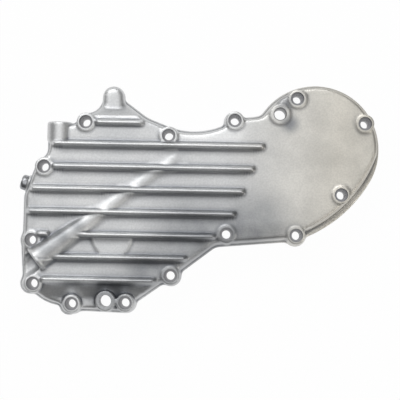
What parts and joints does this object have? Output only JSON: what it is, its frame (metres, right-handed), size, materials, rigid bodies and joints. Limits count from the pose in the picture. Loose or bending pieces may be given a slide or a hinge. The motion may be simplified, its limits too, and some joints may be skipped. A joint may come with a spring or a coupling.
{
  "type": "die cast gear case cover",
  "caption": "Ribbed die cast aluminium engine gear case cover with screw bosses, a slanting oil passage and an open gear cavity behind.",
  "frame": {"origin": "below the middle of the cover's footprint, in the plane of the gasket face", "axes": "+X along the ribs towards the round lobe, +Y across the ribs towards the nose, +Z out of the finned face"},
  "size_m": [0.2902, 0.1896, 0.0345],
  "materials": {
    "cast_aluminium": "as cast, satin",
    "steel": "bright turned",
    "bronze": "bored bronze"
  },
  "bodies": {
    "root": {"cover_casting": "cast_aluminium", "side_plug": "steel", "tube_plug": "steel", "pinion_bush": "bronze", "cam_1_bush": "bronze", "cam_2_bush": "bronze", "cam_3_bush": "bronze", "cam_4_bush": "bronze"}
  },
  "joints": []
}
